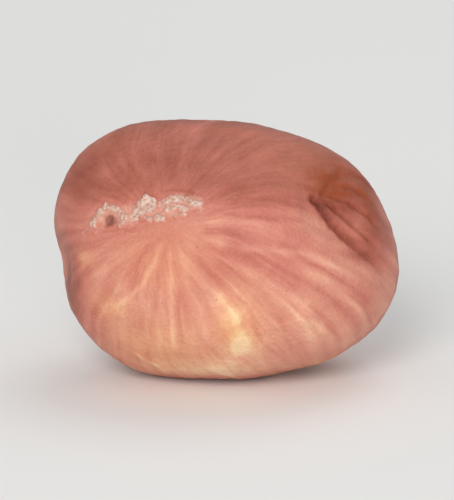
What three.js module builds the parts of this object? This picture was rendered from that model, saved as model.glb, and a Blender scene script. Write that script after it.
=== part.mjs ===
// A shelled hazelnut kernel with its skin on, lying on the small flat spot that it rests on.
// Millimetres, +Z up. The scar at the kernel's base faces -Y and a little up, the widest way is
// along X, and the pointed tip is on the far side. The origin is the middle of the kernel's
// bounding box, at the level of the flat spot.

import * as THREE from "three";
import { mergeVertices } from "three/addons/utils/BufferGeometryUtils.js";

// Driving dimensions of the rounded body, before its swells and hollows.
const WIDTH = 17.6; // along X, cheek to cheek
const LENGTH = 13.9; // along Y, from the scarred base to the tip side
const THICKNESS = 13.3; // along Z

const LEAN_BACK_DEG = 15; // how far the kernel leans back from upright as it lies
const FLAT_PRESSED_IN = 0.34; // height of the round underside that the flat spot takes away
const FLAT_BLEND = 0.12; // height over which the flat spot turns into the round underside

const MESH_DETAIL = 15; // 20 * (detail + 1)^2 triangles
const MERGE_WITHIN = 1e-4;
const SKIN_COLOR = "#c07a63";
const SKIN_ROUGHNESS = 0.55;

// Rounded swells and, where the height is negative, hollows. Each is centred on a direction seen
// from the kernel's middle before it leans, and dies away at about twice its reach in degrees.
const SWELLS = [
  { toward: [-0.75, 0.05, 0.66], height: 1.08, reach: 28 }, // shoulder on the upper left
  { toward: [0.92, -0.1, -0.38], height: 0.55, reach: 25 }, // cheek on the lower right
  { toward: [-0.72, 0.0, -0.7], height: 0.34, reach: 26 }, // cheek on the lower left
  { toward: [-1.0, -0.1, -0.07], height: -0.62, reach: 13 }, // waist between the left cheeks
  { toward: [0.8, -0.53, 0.27], height: -0.5, reach: 13 }, // pinched hollow on the right
  { toward: [0.98, -0.12, 0.14], height: -0.22, reach: 11 }, // where the hollow meets the outline
  { toward: [-0.52, -0.82, 0.26], height: -0.2, reach: 11 }, // dip that holds the scar
  { toward: [0.42, 0.9, -0.1], height: 0.6, reach: 42 }, // taper towards the tip
  { toward: [0.42, 0.9, -0.1], height: 0.55, reach: 12 }, // the tip itself
];

// Broad faces where the kernel lay against its shell, as planes that the body is eased back to.
const FACES = [
  { facing: [-0.02, -0.66, 0.75], distance: 6.4 }, // brow above the scar
  { facing: [0.1, -0.96, -0.24], distance: 6.6 }, // broad front below the scar
  { facing: [-0.1, 0.62, 0.78], distance: 6.6 }, // back, upper
  { facing: [-0.7, 0.7, -0.15], distance: 6.9 }, // back, left
];
const FACE_EASE = 0.9; // how widely a face blends into the round body
const FACE_SPREAD = 0.3; // cosine of the widest angle from its middle at which a face still counts

// Creases that run over the skin from point to point, seen from the middle like the swells.
const CREASES = [
  {
    through: [[0.61, -0.72, 0.31], [0.7, -0.7, 0.17], [0.89, -0.45, -0.05], [0.96, -0.25, -0.15]],
    depth: 0.3,
    reach: 6,
  },
  { through: [[0.61, -0.72, 0.31], [0.69, -0.57, 0.45], [0.78, -0.31, 0.54]], depth: 0.15, reach: 7 },
  { through: [[-1.0, 0.05, -0.04], [-0.96, -0.28, 0.0], [-0.8, -0.58, 0.12]], depth: 0.12, reach: 7 },
];

// Height left at an angle from the middle of a swell or crease.
function fade(angleDeg, reachDeg) {
  return Math.exp(-((angleDeg / reachDeg) ** 2));
}

function ellipsoidRadius(direction) {
  return 1 / Math.hypot(
    direction.x / (WIDTH / 2),
    direction.y / (LENGTH / 2),
    direction.z / (THICKNESS / 2),
  );
}

// The smaller of two lengths, rounded off where they are within `ease` of each other.
function easedMin(a, b, ease) {
  const share = THREE.MathUtils.clamp(0.5 + (b - a) / (2 * ease), 0, 1);
  return THREE.MathUtils.lerp(b, a, share) - ease * share * (1 - share);
}

function degreesBetween(a, b) {
  return THREE.MathUtils.radToDeg(a.angleTo(b));
}

// Angle from a direction to the nearest point of a path of directions.
function degreesToPath(direction, path) {
  let nearest = Infinity;
  for (let i = 1; i < path.length; i++) {
    const span = new THREE.Line3(path[i - 1], path[i]);
    const onSpan = span.closestPointToPoint(direction, true, new THREE.Vector3());
    nearest = Math.min(nearest, degreesBetween(direction, onSpan));
  }
  return nearest;
}

function unit([x, y, z]) {
  return new THREE.Vector3(x, y, z).normalize();
}

function makeRadiusFunction() {
  const faces = FACES.map((face) => ({ ...face, normal: unit(face.facing) }));
  const swells = SWELLS.map((swell) => ({ ...swell, middle: unit(swell.toward) }));
  const creases = CREASES.map((crease) => ({ ...crease, path: crease.through.map(unit) }));

  return (direction) => {
    let radius = ellipsoidRadius(direction);
    for (const { normal, distance } of faces) {
      const cosine = direction.dot(normal);
      if (cosine > FACE_SPREAD) radius = easedMin(radius, distance / cosine, FACE_EASE);
    }
    for (const { middle, height, reach } of swells) {
      radius += height * fade(degreesBetween(direction, middle), reach);
    }
    for (const { path, depth, reach } of creases) {
      radius -= depth * fade(degreesToPath(direction, path), reach);
    }
    return radius;
  };
}

// Height above the flat spot once it is pressed in: flat below, unchanged above, round between.
function pressedHeight(height) {
  if (height <= -FLAT_BLEND) return 0;
  if (height >= FLAT_BLEND) return height;
  return (height + FLAT_BLEND) ** 2 / (4 * FLAT_BLEND);
}

function kernelGeometry() {
  const ball = new THREE.IcosahedronGeometry(1, MESH_DETAIL);
  ball.deleteAttribute("normal");
  ball.deleteAttribute("uv");
  const geometry = mergeVertices(ball, MERGE_WITHIN);

  const radiusToward = makeRadiusFunction();
  const position = geometry.attributes.position;
  const point = new THREE.Vector3();
  for (let i = 0; i < position.count; i++) {
    point.fromBufferAttribute(position, i).normalize();
    point.multiplyScalar(radiusToward(point));
    position.setXYZ(i, point.x, point.y, point.z);
  }

  geometry.rotateX(-THREE.MathUtils.degToRad(LEAN_BACK_DEG));
  geometry.computeBoundingBox();
  const flatLevel = geometry.boundingBox.min.z + FLAT_PRESSED_IN;
  for (let i = 0; i < position.count; i++) {
    position.setZ(i, pressedHeight(position.getZ(i) - flatLevel));
  }

  geometry.computeBoundingBox();
  const middle = geometry.boundingBox.getCenter(new THREE.Vector3());
  geometry.translate(-middle.x, -middle.y, 0);
  geometry.computeVertexNormals();
  return geometry;
}

function kernel() {
  const skin = new THREE.MeshStandardMaterial({
    color: SKIN_COLOR,
    roughness: SKIN_ROUGHNESS,
    metalness: 0,
  });
  const mesh = new THREE.Mesh(kernelGeometry(), skin);
  mesh.name = "hazelnut_kernel";
  return mesh;
}

const hazelnut = new THREE.Group();
hazelnut.add(kernel());

export default hazelnut;
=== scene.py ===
"""A shelled hazelnut kernel with its skin on, lying on a pale floor in soft studio light.

The CAD kernel gives the body. Its surface is taken over onto a much finer closed mesh, which then
gets the relief of a real kernel: veins from the scar to the tip, wrinkles, folds and the torn
scar. Masks worked out from the same places go onto the mesh as attributes, and the skin's material
mixes its colours, roughness and bump from them in nodes.

Lengths are in millimetres until the mesh is made, and in metres from there on. Places on the seen
face are (right, up) from the middle of the kernel's outline, as the camera sees it.
"""

from math import cos, radians, sin

import bpy
import numpy as np
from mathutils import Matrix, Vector
from mathutils.bvhtree import BVHTree


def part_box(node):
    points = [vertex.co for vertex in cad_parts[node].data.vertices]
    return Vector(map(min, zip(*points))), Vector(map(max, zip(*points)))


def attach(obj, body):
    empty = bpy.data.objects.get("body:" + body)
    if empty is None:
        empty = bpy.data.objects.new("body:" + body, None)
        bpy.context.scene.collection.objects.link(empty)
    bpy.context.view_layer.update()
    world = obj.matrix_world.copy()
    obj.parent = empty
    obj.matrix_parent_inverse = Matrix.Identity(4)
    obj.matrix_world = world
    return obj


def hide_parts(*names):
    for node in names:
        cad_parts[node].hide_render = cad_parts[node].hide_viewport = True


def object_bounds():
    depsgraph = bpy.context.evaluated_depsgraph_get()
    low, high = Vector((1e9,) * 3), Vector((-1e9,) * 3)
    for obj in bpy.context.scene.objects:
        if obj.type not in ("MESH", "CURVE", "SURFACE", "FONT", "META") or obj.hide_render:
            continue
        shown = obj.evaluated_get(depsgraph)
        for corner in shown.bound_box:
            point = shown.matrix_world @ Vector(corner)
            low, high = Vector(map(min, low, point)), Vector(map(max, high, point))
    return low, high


MM = 0.001
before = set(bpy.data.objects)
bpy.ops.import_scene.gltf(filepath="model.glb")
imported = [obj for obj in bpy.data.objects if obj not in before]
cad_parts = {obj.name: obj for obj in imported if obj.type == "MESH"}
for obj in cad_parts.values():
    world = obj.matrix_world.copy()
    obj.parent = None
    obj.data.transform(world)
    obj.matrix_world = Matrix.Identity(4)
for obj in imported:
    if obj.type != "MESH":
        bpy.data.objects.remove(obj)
cad_low, cad_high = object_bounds()

# ---------------------------------------------------------------- how the kernel lies

LEAN_BACK = radians(15)  # the camera looks down by as much, so it sees the kernel upright
RIGHT = np.array([1.0, 0.0, 0.0])
UP = np.array([0.0, sin(LEAN_BACK), cos(LEAN_BACK)])
AWAY = np.array([0.0, cos(LEAN_BACK), -sin(LEAN_BACK)])
TIP = (0.42, 0.9, -0.1)  # towards the pointed tip: right, away and up as the camera sees it
SPOKE_HUB = (-3.0, 1.25)  # place on the face that the veins spread from
VEIN_BEND = 0.036  # how much the veins of the right side bend down, in radians per mm
VEIN_BEND_START = 3.0  # mm to the right of the hub
VEIN_BEND_TIP_REACH = 6.0  # mm from the tip, over which the bend fades out
HUB_CLEARANCE = (0.5, 2.2)  # mm from the hub, over which the lines along the spokes fade in
TIP_CLEARANCE = (0.3, 1.6)  # the same from the tip
SPOKE_STRETCH = 7.0  # how much longer than wide the features along the spokes are
FIBRE_OCTAVES = 6  # sizes of fibre, each with twice as many round the hub as the last
HIDDEN_FACING = (-0.1, 0.35)  # how squarely the skin faces front, from wholly hidden to wholly seen

# ---------------------------------------------------------------- the fine mesh

GRID_CELLS = 128  # along each edge of the cube that is rounded into the kernel
FACE_TOWARD = (-0.25, -0.95, 0.15)  # right, away and up: the middle of the seen face
FACE_GATHER = 0.2  # share by which the grid is drawn together towards the seen face
SCAR_PLACE = (-4.0, 2.0)  # on the seen face, as below
SCAR_GATHER = 0.55  # share by which the grid is drawn together towards the scar
SCAR_GATHER_REACH = 0.42  # from the scar, between directions of length 1
FACET_SMOOTHING = 110  # rounds of averaging that even out the CAD model's facets

# ---------------------------------------------------------------- features of the seen face

SCAR_PATH = [(-6.2, 1.7), (-5.3, 1.7), (-4.2, 2.15), (-3.5, 1.95), (-2.5, 2.35), (-1.5, 2.4)]
RING_PLACE = (-6.0, 1.5)  # the small crater at the scar's end
RING_HALF_SIZE = (0.5, 0.4)
SCAR_FLAKES = [  # torn bits of skin: path, half width, height, whiteness
    ([(-6.75, 1.3), (-6.55, 1.8), (-6.05, 2.22), (-5.6, 2.05), (-5.25, 1.65)], 0.2, 0.17, 0.85),
    ([(-5.2, 1.6), (-5.4, 1.25)], 0.16, 0.1, 0.7),
    ([(-7.35, 0.85), (-6.95, 1.05), (-6.6, 1.0)], 0.2, 0.06, 0.45),
    ([(-4.95, 1.65), (-4.65, 1.55)], 0.2, 0.08, 0.7),
    ([(-4.6, 1.9), (-4.45, 2.35), (-4.1, 2.6), (-3.75, 2.35)], 0.27, 0.16, 1.0),
    ([(-4.45, 2.05), (-3.95, 2.1)], 0.3, 0.12, 1.0),
    ([(-4.15, 1.65), (-3.95, 1.6)], 0.17, 0.08, 0.8),
    ([(-3.65, 1.62), (-3.3, 1.6)], 0.2, 0.1, 0.85),
    ([(-3.4, 2.3), (-2.85, 2.6), (-2.25, 2.6), (-1.85, 2.42), (-1.35, 2.35)], 0.2, 0.15, 0.9),
    ([(-3.1, 2.1), (-2.5, 2.2), (-2.05, 2.15)], 0.18, 0.11, 0.8),
    ([(-2.6, 1.8), (-2.2, 1.85)], 0.14, 0.07, 0.7),
]
SCAR_LIP = [(-6.6, 2.6), (-5.6, 2.7), (-4.2, 3.05), (-2.8, 3.05), (-1.2, 2.8)]

LIGHT_VEINS_AND_RIDGE_LIGHT = [  # path, half width, strength; the veins, and two bands of painted highlight on the ridge
    ([(-3.3, 0.95), (-4.9, -0.1), (-6.6, -1.2), (-7.8, -1.7)], 0.2, 0.3),
    ([(-3.1, 0.8), (-3.7, -0.7), (-4.3, -1.8), (-5.2, -2.6), (-6.2, -3.2)], 0.18, 0.75),
    ([(-4.2, -1.6), (-4.7, -2.9), (-5.2, -4.4)], 0.18, 0.35),
    ([(-3.0, 0.8), (-2.85, -1.2), (-2.8, -3.2), (-2.7, -5.9)], 0.13, 0.6),
    ([(-2.8, 0.8), (-1.9, -1.1), (-0.5, -2.3), (0.4, -3.4), (0.9, -5.2)], 0.2, 0.5),
    ([(-2.6, 0.8), (-0.9, -0.9), (0.9, -2.4), (2.0, -4.2)], 0.16, 0.3),
    ([(-2.5, 0.9), (-0.2, -0.4), (1.8, -1.4), (3.7, -2.6), (5.4, -4.2)], 0.24, 0.6),
    ([(1.9, -1.7), (3.2, -2.9), (4.2, -4.2), (5.0, -5.0)], 0.2, 0.6),
    ([(-2.3, 1.0), (0.8, 0.1), (3.9, -0.2), (5.7, -0.9), (7.3, -2.0)], 0.22, 0.6),
    ([(3.6, -0.8), (5.0, -1.5), (6.4, -2.6), (7.3, -3.7)], 0.2, 0.55),
    ([(5.3, -0.3), (6.5, -0.8), (8.1, -2.0)], 0.2, 0.4),
    ([(0.9, -0.6), (2.4, -1.7), (4.4, -3.6), (5.6, -4.6)], 0.18, 0.5),
    # painted highlight: this band and the next lighten the ridge that runs right from the scar
    ([(-1.6, 1.7), (1.2, 1.35), (4.3, 1.2)], 0.26, 0.25),
    ([(-1.5, 2.3), (1.5, 1.95), (4.2, 2.1)], 0.3, 0.3),
    ([(-5.0, -5.1), (-4.1, -5.7), (-3.2, -6.1)], 0.16, 0.7),
]
DARK_LINES = [
    # painted shadow: this line and the next lie under the raised skin above the scar
    ([(-3.5, 2.85), (-2.8, 3.05), (-2.0, 2.95), (-1.0, 2.6)], 0.16, 0.8),
    ([(-7.0, 2.2), (-6.4, 2.75), (-5.7, 2.65), (-5.0, 2.25)], 0.16, 0.5),
    ([(-2.5, -1.5), (-2.45, -3.4), (-2.3, -5.7)], 0.13, 0.7),
    ([(-2.1, 0.4), (-0.5, -1.6), (1.2, -3.0), (2.1, -5.8)], 0.18, 0.7),
    ([(-1.5, 1.3), (0.6, 0.75), (2.4, -0.2), (4.4, -1.5)], 0.16, 0.35),
    ([(0.5, 0.3), (2.8, -0.9), (5.0, -2.2), (6.6, -3.6)], 0.16, 0.5),
    ([(-0.7, 2.0), (1.6, 1.6), (4.4, 1.5)], 0.14, 0.2),
    ([(-3.7, 0.7), (-4.6, -0.8), (-5.9, -2.1)], 0.15, 0.45),
    ([(-3.3, 0.5), (-3.5, -2.0), (-4.0, -4.9)], 0.15, 0.4),
    ([(2.6, -3.2), (3.1, -4.6), (3.4, -5.6)], 0.15, 0.45),
    ([(3.0, -0.1), (5.0, -1.0), (6.6, -2.1), (7.8, -3.2)], 0.16, 0.6),
    ([(4.0, -2.6), (5.2, -3.8), (6.0, -4.8)], 0.14, 0.5),
]
CREAM_AND_LIGHT_PATCHES = [  # place, half size across and up, strength
    ((-7.4, -0.35), (0.6, 0.35), 0.5),
    ((-5.95, -3.0), (0.9, 0.55), 0.4),
    ((-0.1, -2.4), (0.75, 0.7), 0.5),
    ((0.5, -3.2), (0.7, 0.8), 0.6),
    ((0.7, -4.9), (0.75, 1.1), 0.95),
    ((1.2, -5.0), (0.9, 1.4), 0.4),
    ((-3.2, -4.6), (1.8, 1.2), 0.2),
    ((4.2, -4.1), (1.5, 1.1), 0.15),
    # painted light: the skin along the bottom edge is made lighter against the floor's shade
    ((-1.0, -6.2), (2.8, 0.7), 0.7),
]
CREASES = [  # path, half width, depth
    ([(4.5, 2.6), (4.7, 2.4), (5.4, 1.35), (6.4, 0.4), (7.5, -0.45), (8.2, -1.25)], 0.29, 0.26),
    ([(4.7, 2.4), (5.3, 3.4), (6.1, 4.2)], 0.28, 0.15),
    ([(5.0, 2.45), (6.0, 1.7), (7.0, 0.8), (7.9, -0.1)], 0.15, 0.13),
    ([(5.1, 2.8), (6.3, 2.4), (7.3, 1.7), (7.9, 0.9)], 0.15, 0.12),
    ([(5.5, 3.3), (6.6, 3.1), (7.5, 2.5)], 0.16, 0.1),
    ([(6.0, 3.95), (6.9, 3.7), (7.5, 3.2)], 0.16, 0.08),
]
DEEPEST_CREASE = max(depth for places, half_width, depth in CREASES)
SHADE_PATCHES = [  # painted shade, and partly darker skin: darker at the left edge and in the hollow right of the crease; place, half size and strength as in the pale patches above
    ((6.3, 2.2), (1.8, 1.5), 0.85),
    ((5.3, 2.2), (0.9, 0.8), 1.0),
    ((7.6, 1.4), (1.8, 1.8), 1.0),
    ((7.0, -0.2), (1.4, 0.5), 0.5),
    ((-8.0, -2.0), (1.9, 2.6), 1.0),
    ((-7.8, 2.6), (1.6, 2.4), 0.3),
    ((-3.0, -0.4), (2.6, 1.2), 0.1),
    ((0.6, -0.4), (2.4, 1.6), 0.4),
    ((2.0, 2.2), (2.4, 0.8), 0.4),
    ((6.6, -2.4), (2.0, 1.4), 0.35),
]
STAIN_PATCHES = [  # orange-brown skin, as in CREAM_AND_LIGHT_PATCHES
    ((5.4, 3.4), (1.8, 1.4), 1.0),
    ((6.0, 4.0), (1.7, 1.1), 0.8),
    ((7.2, 2.9), (1.7, 1.8), 0.85),
]
GOLDEN_PATCHES = [  # yellower skin, as in CREAM_AND_LIGHT_PATCHES
    ((-3.5, -5.0), (3.2, 1.7), 0.8),
    ((0.4, -4.1), (1.5, 2.6), 1.0),
    ((-6.0, -3.0), (1.4, 1.0), 0.8),
    ((-7.4, -0.4), (0.9, 0.6), 0.8),
    ((4.5, 4.6), (3.0, 1.6), 0.8),
    ((-3.2, -0.6), (2.4, 1.8), 0.7),
    ((2.2, 5.2), (2.0, 1.4), 0.5),
]
HOLLOW_PLACE = (6.3, 2.2)  # where the right side's skin lies in folds
HOLLOW_HALF_SIZE = (2.0, 2.0)
WHORL_TOWARD = (-0.55, 0.55, 0.5)  # right, away and up: what the back's wrinkles curve round

# ---------------------------------------------------------------- sizes of the fine features, in mm

PATH_STEP = 0.25  # between the points along a line on the skin
FLAKE_STEP = 0.12  # the same on a flake
FADE_IN = (0.0, 0.2)  # share of a line's length over which it fades in
FADE_OUT = (0.75, 1.0)  # and over which it fades out
SIGHT_START = 50.0  # from the origin towards the front, where the lines of sight start
WOBBLE_SIZE = 3.2  # of the noise that bends the spokes
TURN_WOBBLE = 0.05  # radians that it bends them
RUN_WOBBLE = 0.06  # how much it moves points along them
LINE_NOISE_SIZE = 0.6  # of the noise that makes the drawn lines uneven
LINE_RAGGEDNESS = 0.45  # share of their width that it changes
CRUMPLE_SIZE = 0.42  # of the noise that roughens the scar
TORN_SIZE = 0.5  # of the noise that tears the edges of the flakes
CURL_SIZE = 0.36  # of the noise that makes the flakes uneven
BLOT_SIZE = 0.9  # of the noise that makes the edges of the patches ragged
BROW_EDGE_SIZE = 2.0  # of the noise that makes the brow's lower edge uneven
STRIPE_PATCH_SIZE = 4.5  # of the noise that makes the stripes come and go
STRIPE_EDGE_SIZE = 0.9  # and of the one that makes their edges uneven
WRINKLE_BEND_SIZE = 3.6  # of the noise that bends the wrinkles
WRINKLE_PATCH_SIZE = 2.6  # of the noise that sets them in patches
WRINKLE_BREAK_SIZE = 0.9  # of the noise that breaks them up
BROAD_BUMP_SIZE = 3.4
FINE_BUMP_SIZE = 0.55
FLAKE_EDGE = (0.65, 1.25)  # in half widths, where a flake's edge starts and ends
SCAR_GROUND_REACH = 0.55
BROW_START = 2.4  # height above the face's middle where the brow starts, with the painted shade that darkens the top
FIBRE_SPACING = 0.55
WRINKLE_SPACING = 0.68
STRIPES_PER_RADIAN = 3.3
STRIPE_STRETCH = 9.0  # how much longer than wide the stripes are
LONG_WAVES_PER_RADIAN = 1.6
TIP_RIDGES_PER_RADIAN = 2.4
FOLD_STRETCH = (2.2, 1.0, 1.0)  # how much narrower the waves between the folds are: up, right, away
SPECKS_PER_MM = 1.3
PORES_PER_MM = 4.5
BLOTCHES_PER_MM = 0.45
GRAIN_PER_MM = 5.5
FINE_FIBRE_STRETCH = (16.0, 16.0, 2.2)  # round the hub, twice, and along the spokes

# Heights of the relief.
BROAD_BUMPS = 0.1
LONG_WAVES = 0.07
VEIN_HEIGHT = 0.045  # light veins stand up and dark lines sink in by this much
FIBRE_HEIGHT = 0.03
STRIPE_HEIGHT = 0.03
WRINKLE_DEPTH = 0.05
FINE_BUMPS = 0.016
SCAR_ROUGHNESS = 0.05
SCAR_DEPTH = 0.07
RING_DEPTH = 0.22
LIP_HEIGHT = 0.06
LIP_HALF_WIDTH = 0.45
FOLD_HEIGHT = 0.08
TIP_RIDGES = 0.1
TIP_RIDGE_REACH = 2.0
TIP_SWELLS = [(0.18, 0.9), (0.3, 0.26)]  # height and reach of the taper and of the point on it
TIP_PALE_REACH = 0.3
BUMP_DEPTH = 0.07  # of the finest lines and pores, which the material makes


def to_world(right, away, up):
    return right * RIGHT + away * AWAY + up * UP


def unit(vectors):
    vectors = np.asarray(vectors, float)
    return vectors / np.linalg.norm(vectors, axis=-1, keepdims=True)


def smooth_step(values, low, high):
    share = np.clip((values - low) / (high - low), 0.0, 1.0)
    return share * share * (3.0 - 2.0 * share)


def bell(values, reach):
    return np.exp(-((values / reach) ** 2))


# ---------------------------------------------------------------- noise


class Noise:
    """Smooth seeded noise, about -1 to 1, that changes once or so in each unit of length."""

    PERIOD = 32  # cells before it repeats
    GAIN = 1.6  # brings its range to about -1 to 1
    LAYER_SHIFT = 7.3  # keeps the layers from lining up

    def __init__(self, seed):
        size = (self.PERIOD,) * 3 + (3,)
        self.slopes = unit(np.random.default_rng(seed).normal(size=size))

    def __call__(self, points):
        cell = np.floor(points).astype(int)
        inside = points - cell
        blend = inside**3 * (inside * (inside * 6.0 - 15.0) + 10.0)
        total = np.zeros(len(points))
        for corner in np.ndindex(2, 2, 2):
            x, y, z = ((cell + corner) % self.PERIOD).T
            rise = np.sum(self.slopes[x, y, z] * (inside - corner), axis=1)
            weight = np.prod(np.where(corner, blend, 1.0 - blend), axis=1)
            total += rise * weight
        return total * self.GAIN

    def layered(self, points, layers, fade=0.5):
        """The noise with finer and fainter copies of itself added."""
        total = np.zeros(len(points))
        for layer in range(layers):
            total += self(points * 2.0**layer + self.LAYER_SHIFT * layer) * fade**layer
        return total


# ---------------------------------------------------------------- body of the kernel


def cube_sphere(cells):
    """Directions, quads and each quad corner's chart place, from a cube rounded into a sphere."""
    steps = np.tan(np.linspace(-np.pi / 4, np.pi / 4, cells + 1))
    across, along = np.meshgrid(steps, steps, indexing="ij")
    number = np.arange((cells + 1) ** 2).reshape(cells + 1, cells + 1)
    ring = [number[:-1, :-1], number[1:, :-1], number[1:, 1:], number[:-1, 1:]]
    face_quads = np.stack([corner.ravel() for corner in ring], axis=1)
    face_charts = np.stack([face_quads // (cells + 1), face_quads % (cells + 1)], axis=2) / cells

    points, quads, charts = [], [], []
    for face in range(6):
        axis, turned = face % 3, face >= 3
        grid = np.empty((across.size, 3))
        grid[:, axis] = -1.0 if turned else 1.0
        grid[:, (axis + 1) % 3] = (along if turned else across).ravel()
        grid[:, (axis + 2) % 3] = (across if turned else along).ravel()
        points.append(grid)
        quads.append(face_quads + face * across.size)
        charts.append(chart_place(face_charts, face))
    merged, number_of = np.unique(np.round(np.concatenate(points), 6) + 0.0, axis=0, return_inverse=True)
    return unit(merged), number_of.ravel()[np.concatenate(quads)], np.concatenate(charts)


def chart_place(chart, face):
    """Moves one cube face's chart to its own cell of three columns and two rows."""
    margin = 0.01  # of a cell, so that the charts don't touch
    column, row = face % 3, face // 3
    inset = margin + chart * (1.0 - 2.0 * margin)
    return (inset + [column, row]) / [3.0, 2.0]


def average_neighbours(values, quads, rounds):
    """Evens the values out over the mesh, each corner with its neighbours, round after round."""
    start, end = quads.ravel(), np.roll(quads, -1, axis=1).ravel()
    size = len(values)
    count = np.bincount(start, minlength=size) + np.bincount(end, minlength=size)
    for _ in range(rounds):
        total = np.bincount(start, values[end], size) + np.bincount(end, values[start], size)
        values = (values + total / count) / 2
    return values


def corner_normals(points, quads):
    a, b, c, d = (points[quads[:, i]] for i in range(4))
    face = np.cross(c - a, d - b)
    return unit(np.stack([
        np.bincount(quads.ravel(), np.repeat(face[:, i], 4), len(points)) for i in range(3)
    ], axis=1))


class CadSkin:
    """The CAD kernel's surface, for finding places on it."""

    def __init__(self, node):
        corners = [v.co / MM for v in node.data.vertices]
        faces = [p.vertices[:] for p in node.data.polygons]
        self.tree = BVHTree.FromPolygons(corners, faces, epsilon=1e-5)
        low, high = (np.array(corner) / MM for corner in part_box(node.name))
        self.middle = (low + high) / 2
        places = np.array(corners) @ np.stack([RIGHT, UP], axis=1)
        self.outline_middle = (places.min(axis=0) + places.max(axis=0)) / 2

    def radius_toward(self, direction):
        return self.tree.ray_cast(Vector(self.middle), Vector(direction))[3]

    def on_face(self, place):
        """The point of the skin that the camera sees at this place on the face."""
        right, up = np.array(place) + self.outline_middle
        start = right * RIGHT + up * UP - SIGHT_START * AWAY
        seen = self.tree.ray_cast(Vector(start), Vector(AWAY))[0]
        if seen is None:
            raise ValueError(f"the place {place} is off the kernel")
        return np.array(seen)

    def path_on_face(self, places, step=PATH_STEP):
        """Points close together along a line through these places."""
        places = np.array(places, float)
        points = []
        for start, end in zip(places[:-1], places[1:]):
            pieces = max(1, int(np.linalg.norm(end - start) / step))
            points += [self.on_face(start + (end - start) * i / pieces) for i in range(pieces)]
        return np.array(points + [self.on_face(places[-1])])


def distance_to_path(points, path):
    """Distance from each point to a line through the path's points, and how far along it is, 0 to 1."""
    nearest = np.full(len(points), np.inf)
    along = np.zeros(len(points))
    for i, (start, end) in enumerate(zip(path[:-1], path[1:])):
        span = end - start
        share = np.clip((points - start) @ span / (span @ span), 0.0, 1.0)
        distance = np.linalg.norm(points - start - share[:, None] * span, axis=1)
        closer = distance < nearest
        nearest[closer] = distance[closer]
        along[closer] = (i + share[closer]) / (len(path) - 1)
    return nearest, along


skin = CadSkin(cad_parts["hazelnut_kernel"])
directions, quads, charts = cube_sphere(GRID_CELLS)
directions = unit(directions + FACE_GATHER * to_world(*unit(FACE_TOWARD)))
scar_toward = unit(skin.on_face(SCAR_PLACE) - skin.middle)
to_scar = scar_toward - directions
closeness = bell(np.linalg.norm(to_scar, axis=1, keepdims=True), SCAR_GATHER_REACH)
directions = unit(directions + SCAR_GATHER * closeness * to_scar)
radii = np.array([skin.radius_toward(direction) for direction in directions])
smoothed = average_neighbours(radii, quads, FACET_SMOOTHING)
# The second pass gives back most of the size that the first one took.
radii = smoothed + average_neighbours(radii - smoothed, quads, FACET_SMOOTHING)
body = skin.middle + directions * radii[:, None]
normals = corner_normals(body, quads)

# ---------------------------------------------------------------- where each point lies


hub_point = skin.on_face(SPOKE_HUB)
tip_toward = unit(to_world(*TIP))
tip_point = skin.middle + tip_toward * skin.radius_toward(tip_toward)
hub_distance = np.linalg.norm(body - hub_point, axis=1)
tip_distance = np.linalg.norm(body - tip_point, axis=1)


def turned_up():
    """The body with its right side turned up about the hub, more so further to the right.

    Straight veins drawn on it bend down to the right once they are back on the real body.
    """
    offset = body - hub_point
    right, up, away = offset @ RIGHT, offset @ UP, offset @ AWAY
    clear_of_tip = smooth_step(tip_distance, 0.0, VEIN_BEND_TIP_REACH)
    angle = VEIN_BEND * np.maximum(right - VEIN_BEND_START, 0.0) * clear_of_tip
    turned_right = right * np.cos(angle) - up * np.sin(angle)
    turned_height = right * np.sin(angle) + up * np.cos(angle)
    return hub_point + np.outer(turned_right, RIGHT) + np.outer(turned_height, UP) + np.outer(away, AWAY)


def spoke_coordinates():
    """Angle round the lines that run from the scar to the tip, and how far along them each point is.

    The kernel's directions are laid out flat from the tip, which turns those lines into the
    spokes of a wheel with its hub at the scar.
    """
    first = unit(np.cross(tip_toward, UP))
    second = np.cross(first, tip_toward)

    def flat(towards):
        spread = np.maximum(1.0 - towards @ tip_toward, 1e-4)
        return np.stack([towards @ first, towards @ second], axis=-1) / spread[..., None]

    offset = flat(unit(turned_up() - skin.middle)) - flat(unit(hub_point - skin.middle))
    return np.arctan2(offset[:, 1], offset[:, 0]), np.log(np.linalg.norm(offset, axis=1) + 1e-4)


def face_distance(place, half_size):
    """Distance from a place on the face, where 1 is the edge of an oval of that half size."""
    offset = body - skin.on_face(place)
    across, up, deep = offset @ RIGHT, offset @ UP, offset @ AWAY
    return np.sqrt((across / half_size[0]) ** 2 + (up / half_size[1]) ** 2 + (deep / half_size[0]) ** 2)


wobble = Noise(11)
turn, run = spoke_coordinates()
turn = turn + TURN_WOBBLE * wobble(body / WOBBLE_SIZE)
run = run + RUN_WOBBLE * wobble(body / WOBBLE_SIZE + 40.0)
spokes = np.stack([np.cos(turn), np.sin(turn), run], axis=1)

clear_of_ends = smooth_step(hub_distance, *HUB_CLEARANCE) * smooth_step(tip_distance, *TIP_CLEARANCE)
radian_length = hub_distance * tip_distance / np.linalg.norm(hub_point - tip_point)
facing = -(normals @ AWAY)
hidden_side = 1.0 - smooth_step(facing, *HIDDEN_FACING)
height_on_face = (body @ UP) - skin.outline_middle[1]


def along_spokes(noise, lines, stretch=SPOKE_STRETCH):
    """Noise drawn out along the spokes, with about this many lines in a radian round the hub."""
    return noise(spokes * [lines, lines, lines / stretch])


def branching_fibres(noise, spacing):
    """Lines along the spokes that branch as they spread, so that they stay about as far apart."""
    level = np.log2(np.maximum(radian_length / spacing, 1.0))
    total = np.zeros(len(body))
    for octave in range(FIBRE_OCTAVES):
        share = np.clip(1.0 - np.abs(level - octave), 0.0, 1.0)
        total += share * along_spokes(noise, 2.0**octave)
    return total


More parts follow.
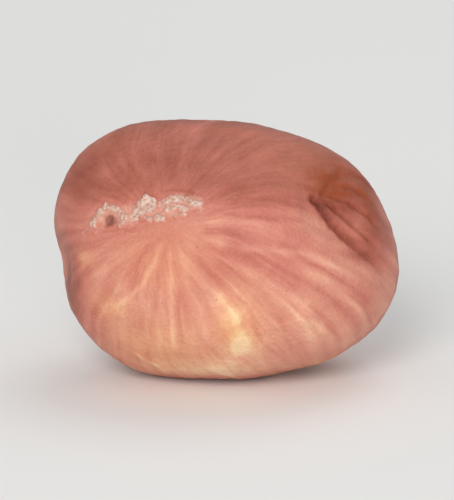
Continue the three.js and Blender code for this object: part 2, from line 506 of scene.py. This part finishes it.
def drawn_lines(lines):
    """Strength of the listed lines at each point, fading in and out at their ends."""
    total = np.zeros(len(body))
    ragged = 1.0 + LINE_RAGGEDNESS * Noise(21)(body / LINE_NOISE_SIZE)
    for places, half_width, strength in lines:
        distance, along = distance_to_path(body, skin.path_on_face(places))
        fade = smooth_step(along, *FADE_IN) * (1.0 - smooth_step(along, *FADE_OUT))
        total = np.maximum(total, strength * fade * bell(distance, half_width * ragged))
    return total


# ---------------------------------------------------------------- masks

crumple = Noise(31).layered(body / CRUMPLE_SIZE, 3)
blot = Noise(51).layered(body / BLOT_SIZE, 2)


def torn_flakes():
    """Whiteness and height of the torn bits of skin on the scar."""
    torn = Noise(32).layered(body / TORN_SIZE, 2, 0.6)
    curled = Noise(33).layered(body / CURL_SIZE, 2)
    whiteness = np.zeros(len(body))
    height = np.zeros(len(body))
    for places, half_width, flake_height, flake_whiteness in SCAR_FLAKES:
        distance = distance_to_path(body, skin.path_on_face(places, FLAKE_STEP))[0]
        flake = 1.0 - smooth_step(distance / half_width + 0.5 * torn, *FLAKE_EDGE)
        whiteness = np.maximum(whiteness, flake_whiteness * flake * (0.8 + 0.35 * curled))
        height = np.maximum(height, flake_height * flake * (0.85 + 0.5 * curled))
    return whiteness, height


def tan_stripes():
    """Broad soft stripes from the scar to the tip, which come and go round the kernel."""
    lines = along_spokes(Noise(42), STRIPES_PER_RADIAN, STRIPE_STRETCH)
    lines = lines + 0.12 * wobble(body / STRIPE_EDGE_SIZE)
    patches = smooth_step(Noise(43)(body / STRIPE_PATCH_SIZE), -0.5, 0.2)
    return smooth_step(lines, -0.05, 0.45) * patches


def drawn_patches(patches):
    """Strength of the listed ovals at each point, with ragged edges drawn out by the fibres."""
    total = np.zeros(len(body))
    for place, half_size, strength in patches:
        ragged_distance = face_distance(place, half_size) + 0.2 * blot + 0.25 * fibres
        total = np.maximum(total, strength * bell(ragged_distance, 0.95))
    return total


def skin_creases():
    """Depth of the creases of the right side at each point, in millimetres."""
    total = np.zeros(len(body))
    for places, half_width, depth in CREASES:
        distance, along = distance_to_path(body, skin.path_on_face(places))
        fade = 1.0 - smooth_step(along, *FADE_OUT)
        total = np.maximum(total, depth * fade * bell(distance + 0.06 * crumple, half_width))
    return total


def whorl_wrinkles():
    """Wrinkles that curve round one place on the back, in patches and broken up along their way."""
    whorl = unit(to_world(*WHORL_TOWARD))
    angle = np.arccos(np.clip(unit(body - skin.middle) @ whorl, -1.0, 1.0))
    bends = 1.5 * Noise(54).layered(body / WRINKLE_BEND_SIZE, 2)
    ripples = angle * np.mean(radii) / WRINKLE_SPACING + bends
    patches = smooth_step(Noise(55)(body / WRINKLE_PATCH_SIZE), -0.45, 0.35)
    breaks = 0.45 + 0.55 * smooth_step(Noise(56).layered(body / WRINKLE_BREAK_SIZE, 2), -0.5, 0.4)
    return (0.5 - 0.5 * np.cos(2.0 * np.pi * ripples)) ** 2 * patches * breaks


scar_distance = distance_to_path(body, skin.path_on_face(SCAR_PATH))[0]
scar_ground = bell(scar_distance + 0.25 * crumple, SCAR_GROUND_REACH)
ring_hollow = bell(face_distance(RING_PLACE, RING_HALF_SIZE) + 0.35 * crumple, 0.9)
flakes, flake_height = torn_flakes()

fibres = branching_fibres(Noise(41), FIBRE_SPACING) * clear_of_ends
light_veins_and_ridge_light = drawn_lines(LIGHT_VEINS_AND_RIDGE_LIGHT)
dark_lines = drawn_lines(DARK_LINES)
hidden_stripes = hidden_side * tan_stripes() * clear_of_ends

# painted shade: the brow, at the top of the seen face, is made darker
brow_height = height_on_face - BROW_START - 0.5 * Noise(53)(body / BROW_EDGE_SIZE)
brow = smooth_step(brow_height, -0.8, 1.4) * (1.0 - 0.6 * hidden_side)
# painted light: the lower part of the seen face is made lighter
painted_light_low = smooth_step(-height_on_face, -2.0, 5.5) * (1.0 - hidden_side)
crease_depth = skin_creases()
hollow = bell(face_distance(HOLLOW_PLACE, HOLLOW_HALF_SIZE), 0.8)
wrinkles = whorl_wrinkles() * np.maximum(hidden_side, 0.35 * brow) * clear_of_ends

MASKS = {  # what the skin's material reads; add_mask keeps each between 0 and 1
    "scar_ground": scar_ground,
    "scar_flakes": flakes,
    "scar_hollow": ring_hollow,
    "veins": light_veins_and_ridge_light,
    "dark_lines": dark_lines,
    "fibres": 0.5 + 0.5 * fibres,
    "wrinkles": wrinkles,
    "cream_and_light": np.maximum(drawn_patches(CREAM_AND_LIGHT_PATCHES), hidden_stripes),
    "golden": np.maximum(drawn_patches(GOLDEN_PATCHES), hidden_stripes),
    "brow": brow,
    "crease": crease_depth / DEEPEST_CREASE,
    "shade": drawn_patches(SHADE_PATCHES),
    "stain": drawn_patches(STAIN_PATCHES),
    "hidden_side": hidden_side,
    "tip": bell(tip_distance + 0.2 * crumple, TIP_PALE_REACH),
    "clear_of_ends": clear_of_ends,
    "painted_light_low": painted_light_low,
}

# ---------------------------------------------------------------- relief


def skin_relief():
    """Height of the veins, fibres, wrinkles and bumps above the smooth body, in millimetres."""
    height = BROAD_BUMPS * Noise(61).layered(body / BROAD_BUMP_SIZE, 2)
    height += LONG_WAVES * along_spokes(Noise(62), LONG_WAVES_PER_RADIAN) * clear_of_ends
    height += VEIN_HEIGHT * (light_veins_and_ridge_light - dark_lines) + FIBRE_HEIGHT * fibres
    height += STRIPE_HEIGHT * hidden_stripes - WRINKLE_DEPTH * wrinkles
    return height + FINE_BUMPS * Noise(65).layered(body / FINE_BUMP_SIZE, 2)


def scar_relief():
    """The rough sunken ground of the scar, its flakes and crater, and the raised skin above it."""
    ground = scar_ground * (SCAR_ROUGHNESS * crumple - SCAR_DEPTH)
    lip_distance = distance_to_path(body, skin.path_on_face(SCAR_LIP))[0]
    lip = LIP_HEIGHT * bell(lip_distance, LIP_HALF_WIDTH)
    return ground + flake_height + lip - RING_DEPTH * ring_hollow


def fold_relief():
    """The creases, and the waves of skin between them, which run across the face."""
    across_face = body @ np.stack([UP, RIGHT, AWAY], axis=1) * FOLD_STRETCH
    return FOLD_HEIGHT * hollow * Noise(66).layered(across_face, 2) - crease_depth


def tip_relief():
    """Ridges that run into the tip, and the taper and the point that they end in."""
    ridges = along_spokes(Noise(67), TIP_RIDGES_PER_RADIAN) * smooth_step(tip_distance, 0.1, 0.7)
    swells = sum(height * bell(tip_distance, reach) for height, reach in TIP_SWELLS)
    return TIP_RIDGES * ridges * bell(tip_distance, TIP_RIDGE_REACH) + swells


relief = skin_relief() + scar_relief() + fold_relief() + tip_relief()
surface = body + normals * relief[:, None]
surface[:, 2] = np.maximum(surface[:, 2], 0.0)  # nothing reaches below the flat spot

# ---------------------------------------------------------------- the piece


def make_kernel():
    mesh = bpy.data.meshes.new("hazelnut_skin")
    mesh.from_pydata((surface * MM).tolist(), [], quads.tolist())
    mesh.shade_smooth()
    chart = mesh.uv_layers.new(name="OFBake")  # a chart for the six cube faces, three across and two up
    chart.data.foreach_set("uv", charts.astype(np.float32).ravel())
    piece = bpy.data.objects.new("hazelnut_skin", mesh)
    bpy.context.scene.collection.objects.link(piece)
    return piece


def add_mask(piece, name, values):
    mask = piece.data.attributes.new(name, "FLOAT", "POINT")
    mask.data.foreach_set("value", np.clip(values, 0.0, 1.0).astype(np.float32))


def add_place(piece, name, vectors):
    place = piece.data.attributes.new(name, "FLOAT_VECTOR", "POINT")
    place.data.foreach_set("vector", vectors.astype(np.float32).ravel())


kernel = make_kernel()
add_place(kernel, "place_mm", surface)
add_place(kernel, "spokes", spokes)
for mask_name, mask_values in MASKS.items():
    add_mask(kernel, mask_name, mask_values)

# ---------------------------------------------------------------- materials


def paint(code):
    """A colour code such as #c07a63 as the linear colour that nodes take."""
    shares = [int(code[i : i + 2], 16) / 255 for i in (1, 3, 5)]
    linear = [s / 12.92 if s <= 0.04045 else ((s + 0.055) / 1.055) ** 2.4 for s in shares]
    return (*linear, 1.0)


class Nodes:
    """Short names for the shader nodes that a material is mixed from."""

    def __init__(self, name):
        self.material = bpy.data.materials.new(name)
        self.material.use_nodes = True
        self.tree = self.material.node_tree
        self.shader = self.tree.nodes["Principled BSDF"]

    def put(self, socket, value):
        if isinstance(value, bpy.types.NodeSocket):
            self.tree.links.new(value, socket)
        else:
            socket.default_value = value

    def add(self, kind, *values, **settings):
        node = self.tree.nodes.new(kind)
        for name, value in settings.items():
            setattr(node, name, value)
        for socket, value in zip(node.inputs, values):
            if value is not None:
                self.put(socket, value)
        return node

    def mask(self, name):
        return self.add("ShaderNodeAttribute", attribute_name=name).outputs["Fac"]

    def place(self, name, stretch=(1.0, 1.0, 1.0)):
        place = self.add("ShaderNodeAttribute", attribute_name=name).outputs["Vector"]
        return self.add("ShaderNodeVectorMath", place, stretch, operation="MULTIPLY").outputs[0]

    def noise(self, place, scale=1.0, detail=2.0, roughness=0.5):
        node = self.add("ShaderNodeTexNoise")
        self.put(node.inputs["Vector"], place)
        self.put(node.inputs["Scale"], scale)
        self.put(node.inputs["Detail"], detail)
        self.put(node.inputs["Roughness"], roughness)
        return node.outputs[0]

    def cells(self, place, scale):
        node = self.add("ShaderNodeTexVoronoi")
        self.put(node.inputs["Vector"], place)
        self.put(node.inputs["Scale"], scale)
        return node.outputs["Distance"]

    def math(self, operation, *values):
        return self.add("ShaderNodeMath", *values, operation=operation).outputs[0]

    def fit(self, value, low, high, new_low=0.0, new_high=1.0):
        node = self.add("ShaderNodeMapRange", value, low, high, new_low, new_high)
        node.interpolation_type = "SMOOTHSTEP"
        return node.outputs[0]

    def total(self, *terms):
        """The sum of values, each given as a number, a socket or a (socket, factor) pair."""
        total = 0.0
        for term in terms:
            if isinstance(term, tuple):
                total = self.math("MULTIPLY_ADD", term[0], term[1], total)
            else:
                total = self.math("ADD", term, total)
        return total

    def ramp(self, value, stops):
        node = self.add("ShaderNodeValToRGB", value)
        elements = node.color_ramp.elements
        while len(elements) < len(stops):
            elements.new(0.5)
        for element, (position, code) in zip(elements, stops):
            element.position = position
            element.color = paint(code)
        return node.outputs[0]

    def mix(self, share, under, over, blend="MIX"):
        """One colour over another. Sockets 6 and 7 in, and 2 out, are the node's colours."""
        node = self.add("ShaderNodeMix", data_type="RGBA", blend_type=blend)
        self.put(node.inputs[0], share)
        self.put(node.inputs[6], under)
        self.put(node.inputs[7], over)
        return node.outputs[2]

    def bump(self, height, distance):
        node = self.add("ShaderNodeBump")
        self.put(node.inputs["Height"], height)
        self.put(node.inputs["Distance"], distance)
        return node.outputs[0]


SKIN_TONES = [
    (0.0, "#64261a"),
    (0.2, "#8d4130"),
    (0.38, "#a85c48"),
    (0.55, "#c07160"),
    (0.7, "#d08a74"),
    (0.82, "#dc9d84"),
    (0.92, "#e6b595"),
    (1.0, "#eecbac"),
]
BASE_TONE = 0.15  # place on the ramp of skin where every noise and mask is 0
TONE_OF_MASKS = {  # how much each mask lightens or darkens the skin
    "fibres": 0.2,
    # painted light: the lower front is lighter
    "painted_light_low": 0.14,
    # painted shade: the brow at the top is darker
    "brow": -0.21,
    "hidden_side": -0.2,
    # light veins, and painted highlight on the ridge right of the scar
    "veins": 0.22,
    # paler skin and stripes, and painted light along the bottom edge
    "cream_and_light": 0.34,
    # darker lines in the skin, and painted shadow under the raised skin above the scar
    "dark_lines": -0.14,
    # painted shade: the skin is darker in the wrinkles
    "wrinkles": -0.08,
    # painted shade: the skin is darker in the creases
    "crease": -0.32,
    # painted shade, partly darker skin
    "shade": -0.35,
}
FLAKE_TONES = [(0.34, "#aa7764"), (0.5, "#c6a08f"), (0.68, "#dec9bc")]
GOLDEN_TINT = "#fffde2"  # multiplied with the skin's colour
SPECK_COLOR = "#6b3024"
STAIN_COLOR = "#984215"
SCAR_GROUND_COLOR = "#d5a08c"
# painted shade in the scar's crater
CRATER_SHADE_COLOR = "#7c3c30"
TIP_COLOR = "#c9a181"
MIDDLE_GREY = (0.5, 0.5, 0.5, 1.0)
SKIN_ROUGHNESS = 0.36  # before the grain, fibres, flakes and creases add to it
SKIN_SPECULAR = 0.4
SCATTER_SHARE = 0.1  # of the light, which goes into the skin and out again
SCATTER_REACH = 0.4 * MM
SCATTER_OF_COLORS = (1.0, 0.45, 0.25)  # red goes furthest


def skin_tone(n, fine_fibres, blotches, grain):
    """How light the skin is, as a place on the ramp of its tones."""
    noises = [(fine_fibres, 0.26), (blotches, 0.3), (grain, 0.18)]
    masks = [(n.mask(name), share) for name, share in TONE_OF_MASKS.items()]
    return n.total(BASE_TONE, *noises, *masks)


def with_stains(n, color, blotches, grain):
    """The colour with the skin's golden and orange-brown parts and its dark specks."""
    color = n.mix(n.mask("golden"), color, paint(GOLDEN_TINT), "MULTIPLY")
    specks = n.fit(n.cells(n.place("place_mm"), SPECKS_PER_MM), 0.08, 0.02)
    color = n.mix(n.math("MULTIPLY", specks, blotches), color, paint(SPECK_COLOR))
    stain = n.fit(n.total(n.mask("stain"), (grain, 0.3)), 0.25, 1.15, 0.0, 0.8)
    return n.mix(stain, color, paint(STAIN_COLOR))


def with_scar_and_tip(n, color, flaked, grain):
    """The colour with the scar's pale ground, the painted shade in its crater, its white flakes, and the
    pale tip.
    """
    ground = n.fit(n.total(n.mask("scar_ground"), (grain, 0.8)), 0.65, 1.3, 0.0, 0.6)
    crater_shade = n.fit(n.mask("scar_hollow"), 0.2, 0.8, 0.0, 0.8)
    tip = n.fit(n.total(n.mask("tip"), (grain, 0.4)), 0.6, 1.1, 0.0, 0.75)
    color = n.mix(ground, color, paint(SCAR_GROUND_COLOR))
    color = n.mix(crater_shade, color, paint(CRATER_SHADE_COLOR))
    color = n.mix(flaked, color, n.ramp(grain, FLAKE_TONES))
    return n.mix(tip, color, paint(TIP_COLOR))


def skin_material():
    n = Nodes("kernel_skin")
    fine_fibres = n.noise(n.place("spokes", FINE_FIBRE_STRETCH), detail=3.0, roughness=0.6)
    fine_fibres = n.mix(n.mask("clear_of_ends"), MIDDLE_GREY, fine_fibres)
    blotches = n.noise(n.place("place_mm"), BLOTCHES_PER_MM, detail=4.0, roughness=0.6)
    grain = n.noise(n.place("place_mm"), GRAIN_PER_MM, detail=4.0, roughness=0.65)
    flaked = n.fit(n.total(n.mask("scar_flakes"), (grain, 0.5)), 0.5, 0.95)

    color = n.ramp(skin_tone(n, fine_fibres, blotches, grain), SKIN_TONES)
    color = with_stains(n, color, blotches, grain)
    n.put(n.shader.inputs["Base Color"], with_scar_and_tip(n, color, flaked, grain))

    crease = n.mask("crease")
    roughness = n.total(SKIN_ROUGHNESS, (grain, 0.2), (fine_fibres, 0.1), (flaked, 0.3), (crease, 0.1))
    n.put(n.shader.inputs["Roughness"], roughness)
    n.shader.inputs["Specular IOR Level"].default_value = SKIN_SPECULAR
    n.shader.inputs["Subsurface Weight"].default_value = SCATTER_SHARE
    n.shader.inputs["Subsurface Radius"].default_value = SCATTER_OF_COLORS
    n.shader.inputs["Subsurface Scale"].default_value = SCATTER_REACH

    pores = n.fit(n.cells(n.place("place_mm"), PORES_PER_MM), 0.02, 0.3)
    height = n.total((fine_fibres, 1.0), (grain, 1.0), (pores, 0.15))
    n.put(n.shader.inputs["Normal"], n.bump(height, BUMP_DEPTH * MM))
    return n.material


FLOOR_COLOR = "#ebeae7"
FLOOR_ROUGHNESS = 0.75
FLOOR_SPECULAR = 0.2


def floor_material():
    n = Nodes("floor_paper")
    n.shader.inputs["Base Color"].default_value = paint(FLOOR_COLOR)
    n.shader.inputs["Roughness"].default_value = FLOOR_ROUGHNESS
    n.shader.inputs["Specular IOR Level"].default_value = FLOOR_SPECULAR
    return n.material


kernel.data.materials.append(skin_material())

# ---------------------------------------------------------------- floor, light and camera

FLOOR_HALF_SIZE = 2.0  # metres, wide enough to fill the picture from the front
FLOOR_DROP = 0.02 * MM  # so that the floor and the flat spot don't lie in one plane
CAMERA_LENS = 600.0  # long, so that the kernel is seen almost without perspective
SENSOR = 36.0
IMAGE_SHAPE = 454 / 500
CLIP_RANGE = 20.0  # the camera sees from its distance divided by this to its distance times this
KERNEL_SHARE = 0.76  # of the picture's width
AMBIENT = 0.48
AMBIENT_COLOR = (0.96, 0.98, 1.0, 1.0)
BACKDROP_COLOR = "#c8c8c6"

# Name, azimuth and elevation from the kernel in degrees, distance and width in metres, watts.
AREA_LIGHTS = [
    ("key", -14, 30, 1.0, 0.5, 5.7),
    ("front_fill", 10, 9, 1.1, 0.3, 2.7),
    ("top_back", 150, 55, 1.1, 0.8, 2.6),
]


def make_floor():
    around = [(-1, -1), (1, -1), (1, 1), (-1, 1)]
    corners = [(x * FLOOR_HALF_SIZE, y * FLOOR_HALF_SIZE, -FLOOR_DROP) for x, y in around]
    mesh = bpy.data.meshes.new("floor")
    mesh.from_pydata(corners, [], [(0, 1, 2, 3)])
    mesh.materials.append(floor_material())
    floor = bpy.data.objects.new("floor", mesh)
    bpy.context.scene.collection.objects.link(floor)
    return floor


def add_light(name, azimuth, elevation, distance, width, power):
    azimuth, elevation = radians(azimuth), radians(elevation)
    out = Vector((sin(azimuth) * cos(elevation), -cos(azimuth) * cos(elevation), sin(elevation)))
    lamp = bpy.data.lights.new(name, "AREA")
    lamp.shape = "DISK"
    lamp.size = width
    lamp.energy = power
    light = bpy.data.objects.new(name, lamp)
    light.location = Vector(skin.middle) * MM + out * distance
    light.rotation_euler = out.to_track_quat("Z", "Y").to_euler()
    bpy.context.scene.collection.objects.link(light)


def add_world():
    """Even light from all round, with a backdrop behind it as bright as the far floor."""
    world = bpy.data.worlds.new("studio")
    world.use_nodes = True
    tree = world.node_tree
    background = tree.nodes["Background"]
    background.inputs["Color"].default_value = AMBIENT_COLOR
    background.inputs["Strength"].default_value = AMBIENT
    backdrop = tree.nodes.new("ShaderNodeBackground")
    backdrop.inputs["Color"].default_value = paint(BACKDROP_COLOR)
    seen = tree.nodes.new("ShaderNodeLightPath").outputs["Is Camera Ray"]
    mix = tree.nodes.new("ShaderNodeMixShader")
    tree.links.new(seen, mix.inputs[0])
    tree.links.new(background.outputs[0], mix.inputs[1])
    tree.links.new(backdrop.outputs[0], mix.inputs[2])
    tree.links.new(mix.outputs[0], tree.nodes["World Output"].inputs["Surface"])
    bpy.context.scene.world = world


def add_camera():
    lens = bpy.data.cameras.new("camera")
    lens.lens = CAMERA_LENS
    lens.sensor_width = SENSOR
    kernel_width = cad_high.x - cad_low.x
    picture_height = kernel_width / KERNEL_SHARE / IMAGE_SHAPE
    distance = picture_height * CAMERA_LENS / SENSOR
    lens.clip_start = distance / CLIP_RANGE
    lens.clip_end = distance * CLIP_RANGE
    camera = bpy.data.objects.new("camera", lens)
    right, up = skin.outline_middle
    aim = right * RIGHT + up * UP + (skin.middle @ AWAY) * AWAY
    camera.location = Vector(aim * MM) - Vector(AWAY) * distance
    camera.rotation_euler = Vector(AWAY).to_track_quat("-Z", "Y").to_euler()
    bpy.context.scene.collection.objects.link(camera)
    bpy.context.scene.camera = camera


floor = make_floor()
for light in AREA_LIGHTS:
    add_light(*light)
add_world()
add_camera()
bpy.context.scene.view_settings.view_transform = "Standard"

# ---------------------------------------------------------------- hand over to the frame

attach(kernel, "root")
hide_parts("hazelnut_kernel")
